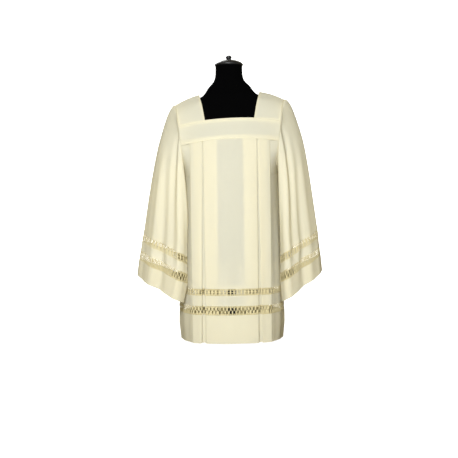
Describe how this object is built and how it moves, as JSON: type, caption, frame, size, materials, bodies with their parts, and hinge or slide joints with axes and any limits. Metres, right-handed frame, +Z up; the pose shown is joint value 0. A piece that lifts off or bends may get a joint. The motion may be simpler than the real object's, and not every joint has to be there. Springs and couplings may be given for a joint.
{
  "type": "surplice on dress form",
  "caption": "Square-necked pleated surplice with wide sleeves and lace insertions at hem and cuffs, worn by a limbless dress form on a round base.",
  "frame": {"origin": "centre of the flat underside of the dress form's base", "axes": "+Z up along the pole, -Y towards the front of the surplice, +X towards the wearer's left"},
  "size_m": [0.7526, 0.2949, 1.149],
  "materials": {
    "ivory_cloth": "matte plain weave, slightly see-through",
    "ivory_lace": "matte drawn-thread lace",
    "form_jersey": "matte stretched jersey",
    "form_cap": "satin",
    "form_pole": "satin black paint",
    "form_base": "satin black paint"
  },
  "bodies": {
    "root": {"yoke_front": "ivory_cloth", "yoke_back": "ivory_cloth", "panel_front": "ivory_cloth", "panel_back": "ivory_cloth", "band_front": "ivory_cloth", "band_back": "ivory_cloth", "hem_front": "ivory_cloth", "hem_back": "ivory_cloth", "shoulder_left": "ivory_cloth", "shoulder_right": "ivory_cloth", "sleeve_left": "ivory_cloth", "sleeve_right": "ivory_cloth", "sleeve_band_left": "ivory_cloth", "sleeve_band_right": "ivory_cloth", "cuff_left": "ivory_cloth", "cuff_right": "ivory_cloth", "lace_high_front": "ivory_lace", "lace_high_back": "ivory_lace", "lace_low_front": "ivory_lace", "lace_low_back": "ivory_lace", "sleeve_lace_high_left_front": "ivory_lace", "sleeve_lace_low_left_front": "ivory_lace", "sleeve_lace_high_left_back": "ivory_lace", "sleeve_lace_low_left_back": "ivory_lace", "sleeve_lace_high_right_front": "ivory_lace", "sleeve_lace_low_right_front": "ivory_lace", "sleeve_lace_high_right_back": "ivory_lace", "sleeve_lace_low_right_back": "ivory_lace", "form_torso": "form_jersey", "form_cap": "form_cap", "form_pole": "form_pole", "form_base": "form_base"}
  },
  "joints": []
}
